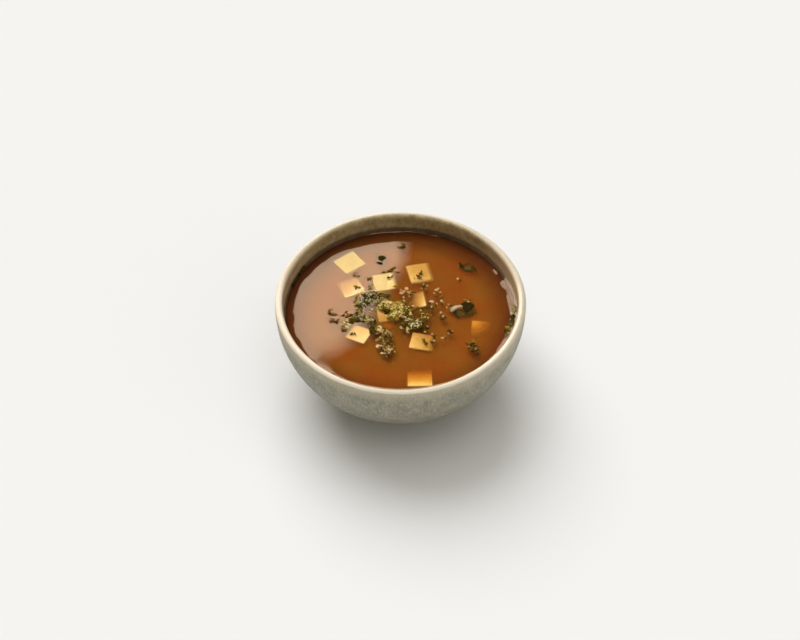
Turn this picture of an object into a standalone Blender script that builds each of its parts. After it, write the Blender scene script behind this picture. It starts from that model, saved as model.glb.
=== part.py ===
# Miso soup in its bowl: a thrown stoneware bowl on a foot ring, the broth that fills it,
# and the tofu cubes and the seaweed leaf that float on the broth.
# Metres, +Z up. The origin is the middle of the foot, on the table. -Y is the eater's side.

import math

import bmesh
import bpy
from mathutils import Euler, Vector

MM = 0.001

# Bowl: the outer wall is a quarter of an ellipse that stands upright at the belly,
# and the inner wall runs beside it at a thickness that grows from the lip to the base.
RIM_RADIUS = 62.0 * MM
RIM_HEIGHT = 60.0 * MM
LIP_THICKNESS = 3.8 * MM
BASE_THICKNESS = 7.0 * MM
BELLY_HEIGHT = 55.5 * MM
BELLY_DROP = 56.1 * MM
FOOT_HEIGHT = 4.2 * MM
FOOT_OUTER_RADIUS = 23.6 * MM
FOOT_WIDTH = 3.8 * MM
FOOT_CHAMFER = 0.6 * MM
FOOT_RECESS = 2.5 * MM
RECESS_DRAFT = 0.8 * MM
TURN_STEPS = 64
WALL_STEPS = 12
LIP_STEPS = 6

# Broth: it climbs the wall in a curve that dies away over the reach. The stops count reaches.
BROTH_LEVEL = 50.0 * MM
CLIMB_HEIGHT = 1.4 * MM
CLIMB_REACH = 2.7 * MM
CLIMB_STOPS = (0.35, 0.8, 1.5, 2.6)
CLIMB_END = 4.0
BROTH_WALL_STEPS = 11

# Clearance between pieces that touch.
GAP = 0.3 * MM

# Tofu: name, middle of the top face (x, y, z above the broth), size along its own
# x, y and z, turn about z, and how far its far side and its left side dip, in degrees.
TOFU_EDGE = 0.5 * MM
TOFU_CUBES = (
    ("tofu_far_left", (-26.2, 33.5, 0.5), (12.4, 11.4, 11.0), 37.0, 0.0, 0.0),
    ("tofu_left", (-24.7, 17.5, -0.1), (11.8, 11.0, 10.5), 24.0, 4.0, 0.0),
    ("tofu_mid_left", (-7.7, 19.8, 0.5), (12.3, 11.8, 11.0), 13.0, 0.0, 0.0),
    ("tofu_far_right", (9.1, 26.4, 0.4), (10.8, 12.5, 11.0), 13.0, 0.0, 0.0),
    ("tofu_middle", (8.5, 7.6, -0.3), (8.0, 10.5, 10.0), 10.0, 5.0, 5.0),
    ("tofu_centre", (-4.1, 0.9, 0.4), (11.0, 10.6, 10.5), 11.0, 0.0, 0.0),
    ("tofu_near_left", (-20.8, -14.9, 0.5), (11.4, 10.6, 11.0), -27.0, 0.0, 0.0),
    ("tofu_near_right", (10.4, -20.4, 0.4), (10.8, 10.6, 11.0), -11.0, 0.0, 0.0),
)

# Seaweed leaf: a lobed oval, with one rolled ridge out of the broth and a wet near edge in it.
LEAF_MIDDLE = (30.6 * MM, 1.6 * MM)
LEAF_TURN = 25.0
LEAF_HALF_LENGTH = 6.4 * MM
LEAF_HALF_WIDTH = 4.6 * MM
LEAF_THICKNESS = 0.8 * MM
LEAF_RIDGE_HEIGHT = 1.9 * MM
LEAF_RIDGE_WIDTH = 1.8 * MM
LEAF_RIDGE_PLACE = 1.2 * MM
LEAF_SINK = 0.7 * MM
LEAF_SPOKES = 24
LEAF_RINGS = 4
LEAF_POCKET_TOP = BROTH_LEVEL + 6.0 * MM


def material(name, color, roughness):
    made = bpy.data.materials.new(name)
    made.use_nodes = True
    shader = made.node_tree.nodes["Principled BSDF"]
    shader.inputs["Base Color"].default_value = (*color, 1.0)
    shader.inputs["Roughness"].default_value = roughness
    shader.inputs["Metallic"].default_value = 0.0
    made.diffuse_color = (*color, 1.0)
    return made


def object_from(name, bm, finish=None):
    """Turn a bmesh into a named object with its faces pointing out."""
    bmesh.ops.recalc_face_normals(bm, faces=bm.faces)
    mesh = bpy.data.meshes.new(name)
    bm.to_mesh(mesh)
    bm.free()
    made = bpy.data.objects.new(name, mesh)
    bpy.context.scene.collection.objects.link(made)
    if finish:
        mesh.materials.append(finish)
    return made


def turned(name, outline, finish):
    """Spin an outline of (radius, height) points, from axis to axis, into a closed round body."""
    bm = bmesh.new()
    verts = [bm.verts.new((radius, 0.0, height)) for radius, height in outline]
    edges = [bm.edges.new(pair) for pair in zip(verts, verts[1:])]
    bmesh.ops.spin(bm, geom=verts + edges, axis=(0.0, 0.0, 1.0), cent=(0.0, 0.0, 0.0),
                   angle=math.tau, steps=TURN_STEPS, use_merge=True)
    bmesh.ops.remove_doubles(bm, verts=bm.verts, dist=0.001 * MM)
    made = object_from(name, bm, finish)
    made.data.shade_smooth()
    made.data.set_sharp_from_angle(angle=math.radians(35.0))
    return made


def wall_outward(angle):
    """The direction out of the wall, across its thickness."""
    return Vector((math.cos(angle) / RIM_RADIUS, -math.sin(angle) / BELLY_DROP)).normalized()


def outer_wall(angle):
    """A point of the outer wall: angle 0 is the belly, 90 degrees the axis."""
    return Vector((RIM_RADIUS * math.cos(angle), BELLY_HEIGHT - BELLY_DROP * math.sin(angle)))


def inner_wall(angle, clearance=0.0):
    """The inner wall's point across from it, moved into the hollow by a clearance."""
    share = math.sin(angle) ** 2
    thickness = LIP_THICKNESS * (1.0 - share) + BASE_THICKNESS * share
    return outer_wall(angle) - wall_outward(angle) * (thickness + clearance)


def angle_at(height, wall):
    """The angle at which a wall passes a height, found by halving."""
    low, high = 0.0, math.pi / 2
    for _ in range(40):
        middle = (low + high) / 2
        if wall(middle).y > height:
            low = middle
        else:
            high = middle
    return low


def between(start, end, steps):
    return [start + (end - start) * step / steps for step in range(steps + 1)]


def bowl_outline():
    foot_angle = angle_at(FOOT_HEIGHT, outer_wall)
    foot_inner = FOOT_OUTER_RADIUS - FOOT_WIDTH
    foot = [
        (0.0, FOOT_RECESS),
        (foot_inner - RECESS_DRAFT, FOOT_RECESS),
        (foot_inner, FOOT_CHAMFER),
        (foot_inner + FOOT_CHAMFER, 0.0),
        (FOOT_OUTER_RADIUS - FOOT_CHAMFER, 0.0),
        (FOOT_OUTER_RADIUS, FOOT_CHAMFER),
        (FOOT_OUTER_RADIUS, FOOT_HEIGHT - FOOT_CHAMFER),
    ]
    outside = [tuple(outer_wall(angle)) for angle in between(foot_angle, 0.0, WALL_STEPS)]
    lip_radius = LIP_THICKNESS / 2
    lip = [(RIM_RADIUS - lip_radius + lip_radius * math.cos(angle),
            RIM_HEIGHT - lip_radius + lip_radius * math.sin(angle))
           for angle in between(0.0, math.pi, LIP_STEPS)]
    inside = [tuple(inner_wall(angle)) for angle in between(0.0, math.pi / 2, WALL_STEPS)]
    inside[-1] = (0.0, inside[-1][1])
    return foot + outside + lip + inside


def broth_outline():
    def face(angle):
        return inner_wall(angle, GAP)

    top_angle = angle_at(BROTH_LEVEL + CLIMB_HEIGHT, face)
    side = [tuple(face(angle)) for angle in between(math.pi / 2, top_angle, BROTH_WALL_STEPS)]
    side[0] = (0.0, side[0][1])
    edge_radius = side[-1][0]
    climb = [(edge_radius - stop * CLIMB_REACH, BROTH_LEVEL + CLIMB_HEIGHT * math.exp(-stop))
             for stop in CLIMB_STOPS]
    flat = [(edge_radius - CLIMB_END * CLIMB_REACH, BROTH_LEVEL), (0.0, BROTH_LEVEL)]
    return side + climb + flat


def block(name, middle, size, turn, finish=None):
    """A rectangular block about its own middle, placed by its location and rotation."""
    bm = bmesh.new()
    bmesh.ops.create_cube(bm, size=1.0)
    bmesh.ops.scale(bm, vec=size, verts=bm.verts)
    made = object_from(name, bm, finish)
    made.location = middle
    made.rotation_euler = turn
    return made


def make_cutter(cutter):
    cutter.hide_render = True
    cutter.display_type = "WIRE"
    return cutter


def cut(body, cutter):
    boolean = body.modifiers.new("pocket", "BOOLEAN")
    boolean.operation = "DIFFERENCE"
    boolean.solver = "EXACT"
    boolean.object = cutter


def tofu_cube(name, top, size, turn, far_dip, left_dip, finish):
    """One cube with softened edges, and the cutter that leaves room for it in the broth."""
    rotation = Euler((math.radians(-far_dip), math.radians(-left_dip), math.radians(turn)))
    size = Vector(size) * MM
    top = Vector(top) * MM + Vector((0.0, 0.0, BROTH_LEVEL))
    middle = top + rotation.to_matrix() @ Vector((0.0, 0.0, -size.z / 2))
    cube = block(name, middle, size, rotation, finish)
    bevel = cube.modifiers.new("soft_edges", "BEVEL")
    bevel.width = TOFU_EDGE
    bevel.segments = 2
    room = Vector((2 * GAP, 2 * GAP, 2 * GAP))
    return cube, make_cutter(block("room_" + name, middle, size + room, rotation))


def leaf_edge(angle, grow):
    """Distance from the leaf's middle to its lobed edge, in the leaf's own directions."""
    lobes = 1.0 + 0.10 * math.cos(3.0 * angle + 0.6) + 0.06 * math.cos(5.0 * angle - 1.1)
    return Vector(((LEAF_HALF_LENGTH * lobes + grow) * math.cos(angle),
                   (LEAF_HALF_WIDTH * lobes + grow) * math.sin(angle)))


def leaf_height(along, across):
    """Height of the leaf's middle layer: a rolled ridge, and a near edge that sinks."""
    offset = (across - LEAF_RIDGE_PLACE) / LEAF_RIDGE_WIDTH
    swell = 0.8 + 0.2 * math.sin(along / LEAF_HALF_LENGTH * 3.0)
    ridge = LEAF_RIDGE_HEIGHT * swell * math.exp(-offset * offset)
    return BROTH_LEVEL - LEAF_SINK + ridge


def leaf_body(name, grow, drop, thickness, flat_top=None, finish=None):
    """The leaf as a closed sheet; with a flat top it becomes the room that the leaf needs."""
    turn = math.radians(LEAF_TURN)
    bm = bmesh.new()

    def point(angle, share):
        flat = leaf_edge(angle, grow) * share
        x = flat.x * math.cos(turn) - flat.y * math.sin(turn) + LEAF_MIDDLE[0]
        y = flat.x * math.sin(turn) + flat.y * math.cos(turn) + LEAF_MIDDLE[1]
        return bm.verts.new((x, y, leaf_height(flat.x, flat.y) - drop))

    centre = point(0.0, 0.0)
    rings = [[point(math.tau * spoke / LEAF_SPOKES, ring / LEAF_RINGS)
              for spoke in range(LEAF_SPOKES)] for ring in range(1, LEAF_RINGS + 1)]
    for spoke in range(LEAF_SPOKES):
        after = (spoke + 1) % LEAF_SPOKES
        bm.faces.new((centre, rings[0][spoke], rings[0][after]))
        for inner, outer in zip(rings, rings[1:]):
            bm.faces.new((inner[spoke], outer[spoke], outer[after], inner[after]))
    raised = bmesh.ops.extrude_face_region(bm, geom=bm.faces[:], use_keep_orig=True)
    for vert in (item for item in raised["geom"] if isinstance(item, bmesh.types.BMVert)):
        vert.co.z = flat_top if flat_top else vert.co.z + thickness
    return object_from(name, bm, finish)


def build():
    for old in list(bpy.data.objects):
        bpy.data.objects.remove(old, do_unlink=True)

    glaze = material("speckled stoneware glaze", (0.42, 0.39, 0.31), 0.38)
    soup = material("miso broth", (0.26, 0.09, 0.018), 0.08)
    curd = material("silken tofu", (0.87, 0.70, 0.38), 0.35)
    seaweed = material("wakame", (0.02, 0.03, 0.008), 0.2)

    turned("bowl", bowl_outline(), glaze)
    broth = turned("broth", broth_outline(), soup)

    for cube in TOFU_CUBES:
        _, room = tofu_cube(*cube, finish=curd)
        cut(broth, room)

    half = LEAF_THICKNESS / 2
    leaf = leaf_body("wakame_leaf", 0.0, half, LEAF_THICKNESS, finish=seaweed)
    leaf.data.shade_smooth()
    room = leaf_body("room_wakame_leaf", GAP, half + GAP, 0.0, flat_top=LEAF_POCKET_TOP)
    cut(broth, make_cutter(room))


build()
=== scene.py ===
import math
import random

import bpy
from mathutils import Matrix, Vector, noise


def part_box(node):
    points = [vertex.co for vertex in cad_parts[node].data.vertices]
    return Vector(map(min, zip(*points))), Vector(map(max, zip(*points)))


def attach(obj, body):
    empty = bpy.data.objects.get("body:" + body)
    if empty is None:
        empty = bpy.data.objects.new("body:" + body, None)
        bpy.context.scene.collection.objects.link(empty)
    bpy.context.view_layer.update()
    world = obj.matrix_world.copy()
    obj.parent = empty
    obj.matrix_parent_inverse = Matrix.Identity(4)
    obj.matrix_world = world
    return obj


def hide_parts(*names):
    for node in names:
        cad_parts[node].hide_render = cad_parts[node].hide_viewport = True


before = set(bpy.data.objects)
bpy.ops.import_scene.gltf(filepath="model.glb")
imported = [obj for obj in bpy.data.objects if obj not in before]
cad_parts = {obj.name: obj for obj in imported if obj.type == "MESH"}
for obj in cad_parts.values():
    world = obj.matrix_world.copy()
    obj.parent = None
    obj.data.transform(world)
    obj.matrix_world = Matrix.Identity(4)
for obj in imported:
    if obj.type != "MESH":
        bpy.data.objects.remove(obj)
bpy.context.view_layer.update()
mm = 0.001
print("stage: frame loaded")


# ---- small helpers ----

def linearFromHex(hexText, alpha=1.0):
    parts = [int(hexText[i:i + 2], 16) / 255 for i in (0, 2, 4)]
    return (*[p / 12.92 if p <= 0.04045 else ((p + 0.055) / 1.055) ** 2.4 for p in parts], alpha)


def addNode(tree, kind, settings=None, links=None):
    # settings: node properties and socket values by name; links: socket name -> output socket
    node = tree.nodes.new(kind)
    for key, value in (settings or {}).items():
        if isinstance(key, str) and hasattr(node, key):
            setattr(node, key, value)
        else:
            node.inputs[key].default_value = value
    for key, source in (links or {}).items():
        tree.links.new(source, node.inputs[key])
    return node


def newMaterial(name):
    made = bpy.data.materials.new(name)
    made.use_nodes = True
    made.node_tree.nodes.clear()
    return made, made.node_tree


def addRamp(tree, source, stops, interpolation="LINEAR"):
    ramp = addNode(tree, "ShaderNodeValToRGB", links={"Fac": source})
    ramp.color_ramp.interpolation = interpolation
    elements = ramp.color_ramp.elements
    while len(elements) < len(stops):
        elements.new(0.5)
    for element, (place, color) in zip(elements, stops):
        element.position = place
        element.color = color if isinstance(color, tuple) else (color, color, color, 1.0)
    return ramp.outputs["Color"]


def deselectAll():
    if bpy.context.mode != "OBJECT":
        bpy.ops.object.mode_set(mode="OBJECT")
    bpy.ops.object.select_all(action="DESELECT")


def nameNew(name, material=None):
    # the object that an operator just added
    made = bpy.context.active_object
    made.name = name
    made.data.name = name
    if material:
        made.data.materials.clear()
        made.data.materials.append(material)
    return made


def makeActive(piece):
    deselectAll()
    bpy.context.view_layer.objects.active = piece
    piece.select_set(True)


def settle(piece):
    # place, turn and scale go into the mesh, so the object sits at the origin
    makeActive(piece)
    bpy.ops.object.transform_apply(location=True, rotation=True, scale=True)


def tidyShell(piece, mergeMm=0.001):
    # doubles first, then faces outwards
    makeActive(piece)
    bpy.ops.object.mode_set(mode="EDIT")
    bpy.ops.mesh.select_all(action="SELECT")
    bpy.ops.mesh.remove_doubles(threshold=mergeMm * mm)
    bpy.ops.mesh.normals_make_consistent(inside=False)
    bpy.ops.object.mode_set(mode="OBJECT")


def moveVerts(piece, rule):
    # rule(point) gives the moved point, all in metres
    for vert in piece.data.vertices:
        vert.co = rule(vert.co.copy())
    piece.data.update()


def finishPiece(piece, replaced=(), castsShadow=True, mirrored=True):
    # what floats is not mirrored in the broth it lies on
    piece.data.update()
    piece.visible_shadow = castsShadow
    piece.visible_glossy = mirrored
    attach(piece, "root")
    if replaced:
        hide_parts(*replaced)
    return piece


def lathe(name, outline, steps, material):
    # outline: (radius, height) from axis to axis; a ring is drawn round the axis, then extruded
    # and scaled from point to point, as a potter's profile
    deselectAll()
    first = outline[1]
    bpy.ops.mesh.primitive_circle_add(vertices=steps, radius=first[0], fill_type="TRIFAN",
                                      location=(0, 0, first[1]))
    made = nameNew(name, material)
    settle(made)
    bpy.ops.object.mode_set(mode="EDIT")
    bpy.ops.mesh.select_mode(type="VERT")
    bpy.ops.mesh.select_all(action="DESELECT")
    bpy.ops.mesh.select_mode(type="EDGE")
    bpy.ops.mesh.select_non_manifold()
    radius, height = first
    for nextRadius, nextHeight in outline[2:-1]:
        bpy.ops.mesh.extrude_region_move(
            TRANSFORM_OT_translate={"value": (0, 0, nextHeight - height)})
        scale = nextRadius / radius
        bpy.ops.transform.resize(value=(scale, scale, 1), center_override=(0, 0, 0))
        radius, height = nextRadius, nextHeight
    bpy.ops.mesh.extrude_region_move(
        TRANSFORM_OT_translate={"value": (0, 0, outline[-1][1] - height)})
    bpy.ops.mesh.merge(type="CENTER")
    bpy.ops.object.mode_set(mode="OBJECT")
    tidyShell(made)
    bpy.ops.object.shade_smooth()
    return made


def smoothStep(low, high, value):
    share = min(max((value - low) / (high - low), 0.0), 1.0)  # low may be above high
    return share * share * (3 - 2 * share)


def between(start, end, steps):
    return [start + (end - start) * i / steps for i in range(steps + 1)]


# ---- places taken from the frame ----

bowlLow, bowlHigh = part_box("bowl")
rimRadius = bowlHigh.x
rimHeight = bowlHigh.z
brothLevel = rimHeight - 10.0 * mm
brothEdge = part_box("broth")[1].x


# ---- camera, floor and studio light ----

cameraView = {
    "lens": 70.0,
    "elevation": 46.44,      # degrees above the rim's middle
    "distance": 0.76823,     # metres from the rim's middle
    "tiltDown": 0.846,
    "turn": 0.034,
}


def makeCamera():
    elevation = math.radians(cameraView["elevation"])
    place = Vector((0, -math.cos(elevation), math.sin(elevation))) * cameraView["distance"]
    lens = bpy.data.cameras.new("studioCamera")
    lens.lens = cameraView["lens"]
    lens.sensor_width = 36.0
    lens.clip_start = 0.01
    camera = bpy.data.objects.new("studioCamera", lens)
    camera.location = place + Vector((0, 0, rimHeight))
    pitch = math.radians(90 - cameraView["elevation"] - cameraView["tiltDown"])
    camera.rotation_euler = (pitch, 0, math.radians(cameraView["turn"]))
    bpy.context.scene.collection.objects.link(camera)
    bpy.context.scene.camera = camera


studio = {
    "keyElevation": 55.0, "keyLeft": 26.0, "keyAngle": 48.0, "keyStrength": 1.98,
    "topStrength": 0.80, "topAngle": 60.0,
    "sideElevation": 32.0, "sideLeft": -125.0, "sideAngle": 70.0, "sideStrength": 0.40,
    "fill": 0.245, "fillColor": "fffae7", "lampColor": "f8f9ff", "glossySurround": 0.10,
    "floorColor": "f2f1ed",
}


def makeSun(name, elevation, left, angle, strength):
    light = bpy.data.lights.new(name, "SUN")
    light.energy = strength
    light.angle = math.radians(angle)
    light.color = linearFromHex(studio["lampColor"])[:3]
    sun = bpy.data.objects.new(name, light)
    # a sun shines along its own -Z; turned so that it comes from behind, "left" degrees to -X
    toLight = Vector((-math.sin(math.radians(left)) * math.cos(math.radians(elevation)),
                      math.cos(math.radians(left)) * math.cos(math.radians(elevation)),
                      math.sin(math.radians(elevation))))
    sun.rotation_euler = toLight.to_track_quat("Z", "Y").to_euler()
    sun.visible_glossy = False
    bpy.context.scene.collection.objects.link(sun)
    return sun


def makeWorld():
    world = bpy.data.worlds.new("studioRoom")
    world.use_nodes = True
    tree = world.node_tree
    tree.nodes.clear()
    path = addNode(tree, "ShaderNodeLightPath")
    fill = addNode(tree, "ShaderNodeBackground",
                   {"Color": linearFromHex(studio["fillColor"]), "Strength": studio["fill"]})
    dim = addNode(tree, "ShaderNodeBackground",
                  {"Color": linearFromHex("ffffff"), "Strength": studio["glossySurround"]})
    mix = addNode(tree, "ShaderNodeMixShader", links={
        0: path.outputs["Is Glossy Ray"], 1: fill.outputs[0], 2: dim.outputs[0]})
    addNode(tree, "ShaderNodeOutputWorld", links={"Surface": mix.outputs[0]})
    bpy.context.scene.world = world


windowCard = {
    # a big window far behind and to the left, seen only in reflections: its outline in metres
    # on an upright plane this far behind: to the right, above the broth, softness of the edge
    "distance": 1.2,
    "outline": [(-3.2, 0.12, 0.03), (0.022, 0.12, 0.03), (0.022, 1.17, 0.036),
                (-0.012, 1.270, 0.045), (-0.045, 1.362, 0.050), (-0.084, 1.386, 0.050),
                (-0.122, 1.412, 0.050), (-0.156, 1.470, 0.055), (-0.30, 1.60, 0.10),
                (-0.9, 1.79, 0.10), (-3.2, 2.14, 0.10)],
    "radiance": 10.6,
    "color": "ffe6c6",
}


def hideFromAllButReflections(card):
    card.visible_camera = False
    card.visible_diffuse = False
    card.visible_shadow = False
    card.visible_transmission = False
    card.visible_volume_scatter = False


def makeWindowCard():
    soup = Vector((0, windowCard["distance"], brothLevel))
    outline = [Vector((x, 0, z)) for x, z, soft in windowCard["outline"]]
    corners = [soup + corner for corner in outline]
    deselectAll()
    bpy.ops.mesh.primitive_circle_add(vertices=len(corners), radius=1.0, fill_type="NGON")
    material, tree = newMaterial("windowGlow")
    glowShare = addNode(tree, "ShaderNodeAttribute", {"attribute_name": "glow"})
    soft = addNode(tree, "ShaderNodeMapRange", {"interpolation_type": "SMOOTHSTEP"},
                   {"Value": glowShare.outputs["Fac"]})
    strength = addNode(tree, "ShaderNodeMath", {"operation": "MULTIPLY",
                       1: windowCard["radiance"]}, {0: soft.outputs[0]})
    light = addNode(tree, "ShaderNodeEmission", {"Color": linearFromHex(windowCard["color"])},
                    {"Strength": strength.outputs[0]})
    addNode(tree, "ShaderNodeOutputMaterial", links={"Surface": light.outputs[0]})
    card = nameNew("windowCard", material)
    for vert, corner in zip(card.data.vertices, corners):
        vert.co = corner
    # a soft border: the outer ring glows 0, the inner one 1
    bpy.ops.object.mode_set(mode="EDIT")
    bpy.ops.mesh.select_all(action="SELECT")
    bpy.ops.mesh.inset(thickness=0.01, depth=0)
    bpy.ops.object.mode_set(mode="OBJECT")
    inner = {i for face in card.data.polygons if face.select for i in face.vertices}
    glow = card.data.attributes.new("glow", "FLOAT", "POINT")
    for vert in card.data.vertices:
        glow.data[vert.index].value = 1.0 if vert.index in inner else 0.0
        if vert.index in inner:
            nearest = min(range(len(corners)), key=lambda i: (corners[i] - vert.co).length)
            before, after = outline[nearest - 1], outline[(nearest + 1) % len(outline)]
            inward = (after - before).cross(Vector((0, 1, 0))).normalized()
            vert.co = corners[nearest] + inward * windowCard["outline"][nearest][2]
    hideFromAllButReflections(card)


overheadCard = {"height": 1.3, "size": 0.34, "behind": 0.30, "radiance": 4.5}


def makeOverheadCard():
    # a dim diffuser overhead: it draws the thin light line where the broth climbs the far wall
    deselectAll()
    bpy.ops.mesh.primitive_plane_add(size=overheadCard["size"], location=(
        0, overheadCard["behind"], overheadCard["height"]))
    material, tree = newMaterial("overheadGlow")
    light = addNode(tree, "ShaderNodeEmission", {"Color": linearFromHex("ffe4c0"),
                    "Strength": overheadCard["radiance"]})
    addNode(tree, "ShaderNodeOutputMaterial", links={"Surface": light.outputs[0]})
    card = nameNew("overheadCard", material)
    hideFromAllButReflections(card)
    settle(card)


def makeFloor():
    deselectAll()
    bpy.ops.mesh.primitive_plane_add(size=30.0, location=(0, 0, 0))
    material, tree = newMaterial("paleStudioFloor")
    shader = addNode(tree, "ShaderNodeBsdfDiffuse", {"Color": linearFromHex(studio["floorColor"])})
    addNode(tree, "ShaderNodeOutputMaterial", links={"Surface": shader.outputs[0]})
    floor = nameNew("studioFloor", material)


makeCamera()
makeFloor()
makeWorld()
makeSun("keyLight", studio["keyElevation"], studio["keyLeft"], studio["keyAngle"],
        studio["keyStrength"])
makeSun("topLight", 89.0, 0.0, studio["topAngle"], studio["topStrength"])
makeSun("sideLight", studio["sideElevation"], studio["sideLeft"], studio["sideAngle"],
        studio["sideStrength"])
makeWindowCard()
makeOverheadCard()
bpy.context.scene.view_settings.view_transform = "Standard"
bpy.context.scene.view_settings.look = "None"
print("stage: camera and studio")


# ---- the bowl ----

bowlForm = {
    "steps": 288,
    "belly": 55.5 * mm, "drop": 56.1 * mm,       # the outer wall's ellipse
    "lip": 3.8 * mm, "base": 7.0 * mm,           # wall thickness at the lip and over the foot
    "footHeight": 4.2 * mm, "footRadius": 23.6 * mm, "footWidth": 3.8 * mm,
    "recess": 2.5 * mm,
    "wobble": 0.16 * mm, "throwingRings": 0.05 * mm, "ringSpacing": 3.4 * mm,
    "glazeSwell": 0.09 * mm,
}


def outerWall(angle):
    return Vector((rimRadius * math.cos(angle),
                   bowlForm["belly"] - bowlForm["drop"] * math.sin(angle)))


def innerWall(angle, clearance=0.0):
    outward = Vector((math.cos(angle) / rimRadius,
                      -math.sin(angle) / bowlForm["drop"])).normalized()
    share = math.sin(angle) ** 2
    wall = bowlForm["lip"] * (1 - share) + bowlForm["base"] * share
    return outerWall(angle) - outward * (wall + clearance)


def angleAtHeight(height, wall):
    low, high = 0.0, math.pi / 2
    for _ in range(40):
        middle = (low + high) / 2
        if wall(middle).y > height:
            low = middle
        else:
            high = middle
    return low


def bowlOutline():
    footAngle = angleAtHeight(bowlForm["footHeight"] + 0.5 * mm, outerWall)
    foot, width = bowlForm["footRadius"], bowlForm["footWidth"]
    inner = foot - width
    round1 = 0.5 * mm
    points = [(0, bowlForm["recess"]), (4 * mm, bowlForm["recess"])]
    points += [(r, bowlForm["recess"]) for r in between(8 * mm, inner - 2.0 * mm, 4)]
    points += [(inner - 0.8 * mm, bowlForm["recess"] - 0.3 * mm), (inner - 0.2 * mm, 1.0 * mm)]
    points += [(inner + round1 - round1 * math.cos(a), round1 - round1 * math.sin(a))
               for a in between(0, math.pi / 2, 4)]
    points += [(foot - round1 + round1 * math.sin(a), round1 - round1 * math.cos(a))
               for a in between(0, math.pi / 2, 4)]
    points += [(foot + 0.1 * mm, 2.4 * mm), (foot + 0.35 * mm, 3.6 * mm)]
    wallPoints = [outerWall(a) for a in between(footAngle, 0.0, 46)]
    points += [(p.x, p.y) for p in wallPoints]
    lip = bowlForm["lip"] / 2
    points += [(rimRadius, h) for h in between(bowlForm["belly"], rimHeight - lip, 4)[1:]]
    points += [(rimRadius - lip + lip * math.cos(a), rimHeight - lip + lip * math.sin(a))
               for a in between(0, math.pi, 14)[1:]]
    points += [(rimRadius - 2 * lip, h) for h in between(rimHeight - lip, bowlForm["belly"], 4)[1:]]
    points += [tuple(innerWall(a)) for a in between(0, math.pi / 2, 40)[1:-1]]
    points.append((0, innerWall(math.pi / 2).y))
    return points


def thrownByHand(point):
    # a thrown pot is never quite round: slow wobble, faint throwing rings, glaze that pooled
    radial = Vector((point.x, point.y, 0))
    if radial.length < 1 * mm or point.z < 1.2 * mm:
        return point
    out = radial.normalized()
    around = Vector((out.x * 1.3, out.y * 1.3, point.z * 14))
    fade = smoothStep(1.2 * mm, 8 * mm, point.z)
    wobble = noise.noise(around) * bowlForm["wobble"]
    rings = math.sin(point.z / bowlForm["ringSpacing"] * math.tau
                     + 2.2 * noise.noise(out * 0.8)) * bowlForm["throwingRings"]
    swell = noise.noise(point / (5.0 * mm)) * bowlForm["glazeSwell"]
    rise = noise.noise(out * 2.1 + Vector((7, 3, 1))) * 0.12 * mm * smoothStep(
        rimHeight - 6 * mm, rimHeight, point.z)
    moved = point + out * (wobble + rings + swell) * fade
    moved.z = min(moved.z + rise, rimHeight)
    return moved


def mixColors(tree, factor, first, second, blend="MIX"):
    # factor, first and second are output sockets, colors or numbers
    settings, links = {"data_type": "RGBA", "blend_type": blend}, {}
    for key, value in (("Factor", factor), ("A", first), ("B", second)):
        (links if hasattr(value, "is_output") else settings)[key] = value
    return addNode(tree, "ShaderNodeMix", settings, links).outputs["Result"]


def smoothRange(tree, value, low, high, toLow=0.0, toHigh=1.0):
    return addNode(tree, "ShaderNodeMapRange", {"interpolation_type": "SMOOTHSTEP",
                   "From Min": low, "From Max": high, "To Min": toLow, "To Max": toHigh},
                   {"Value": value}).outputs[0]


def doMath(tree, operation, first, second, third=0.0):
    settings, links = {"operation": operation}, {}
    for key, value in ((0, first), (1, second), (2, third)):
        (links if hasattr(value, "is_output") else settings)[key] = value
    return addNode(tree, "ShaderNodeMath", settings, links).outputs[0]


def radiusFromAxis(tree, place):
    flat = addNode(tree, "ShaderNodeVectorMath", {"operation": "MULTIPLY", 1: (1.0, 1.0, 0.0)},
                   {0: place})
    return addNode(tree, "ShaderNodeVectorMath", {"operation": "LENGTH"},
                   {0: flat.outputs["Vector"]}).outputs["Value"]


def noiseOf(tree, place, size, detail=2.0, roughness=0.5, stretch=None):
    # noise whose grains are this many metres across
    if stretch:
        place = addNode(tree, "ShaderNodeMapping", {"Scale": stretch}, {"Vector": place}).outputs[0]
    return addNode(tree, "ShaderNodeTexNoise", {"Scale": 1 / size, "Detail": detail,
                   "Roughness": roughness}, {"Vector": place}).outputs["Fac"]


def specksOf(tree, place, spacing, radius, chance):
    # round specks, some of the cells only
    cells = addNode(tree, "ShaderNodeTexVoronoi", {"Scale": 1 / spacing, "Randomness": 1.0},
                    {"Vector": place})
    shape = smoothRange(tree, cells.outputs["Distance"], radius / spacing, radius / spacing * 0.5)
    pick = addNode(tree, "ShaderNodeSeparateColor", links={0: cells.outputs["Color"]}).outputs[0]
    return doMath(tree, "MULTIPLY", shape, doMath(tree, "LESS_THAN", pick, chance))


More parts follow.
